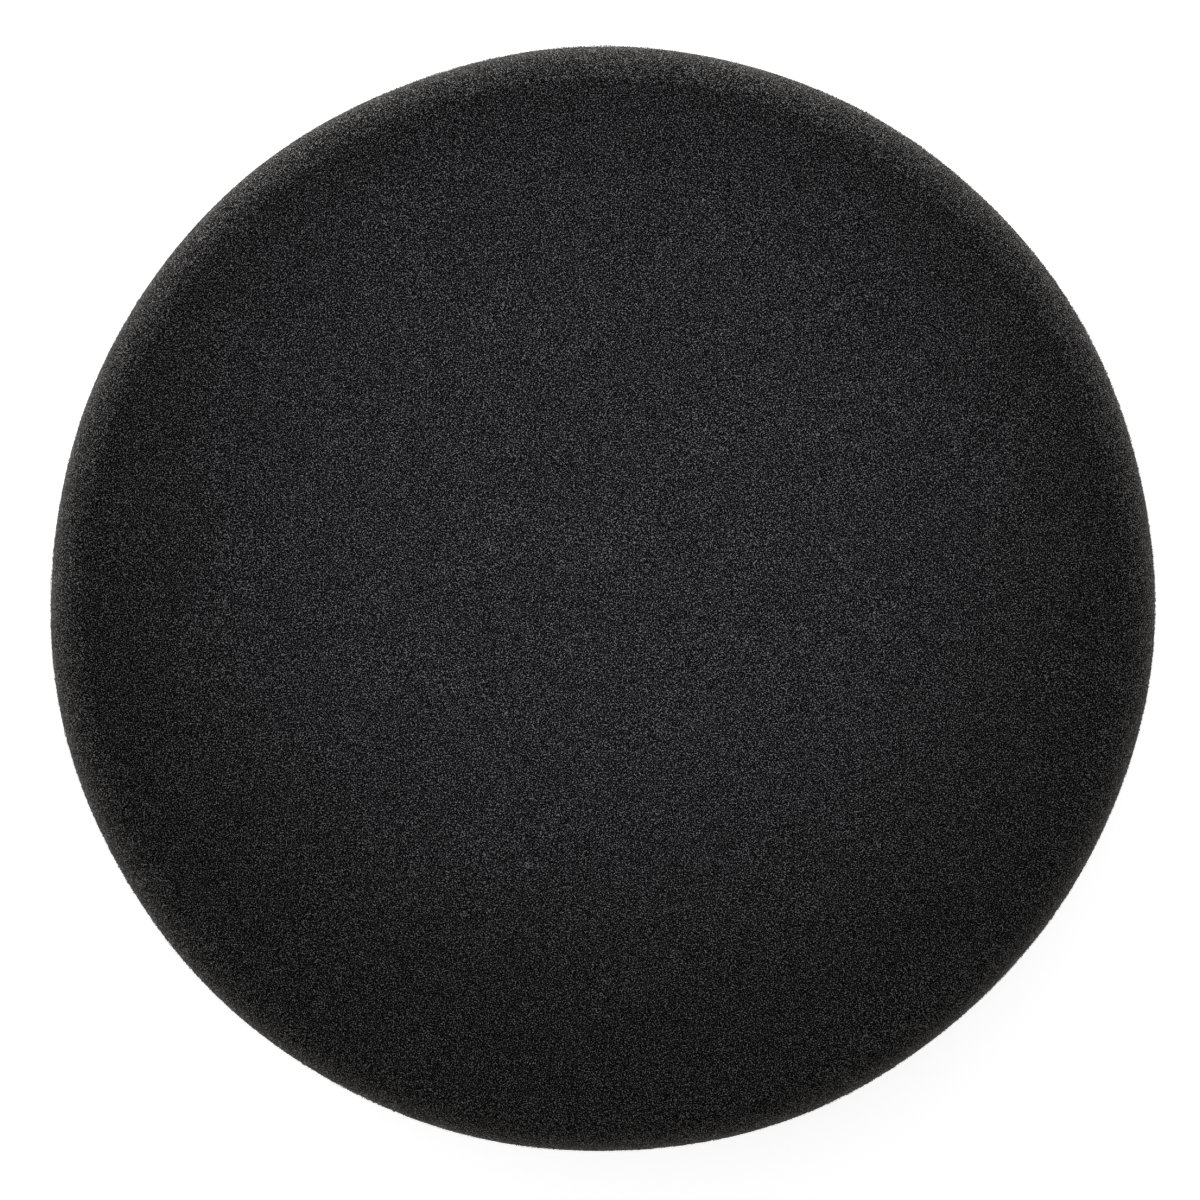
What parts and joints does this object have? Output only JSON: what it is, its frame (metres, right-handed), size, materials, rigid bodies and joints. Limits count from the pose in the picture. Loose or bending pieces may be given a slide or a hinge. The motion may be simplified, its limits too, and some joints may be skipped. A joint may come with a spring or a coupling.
{
  "type": "polishing pad",
  "caption": "Round foam finishing pad with a flat face, a rounded rim and a hook-and-loop backing, for a car polisher.",
  "frame": {"origin": "middle of the underside of the loop backing, on which the pad lies", "axes": "+Z along the pad's axis, from the loop backing to the working face; X and Y across the pad, with no front"},
  "size_m": [0.16, 0.16, 0.03],
  "materials": {
    "open_cell_foam": "matte",
    "hot_melt_glue": "satin",
    "loop_cloth": "matte"
  },
  "bodies": {
    "root": {"foam_disc": "open_cell_foam", "glue_film": "hot_melt_glue", "loop_backing": "loop_cloth"}
  },
  "joints": []
}
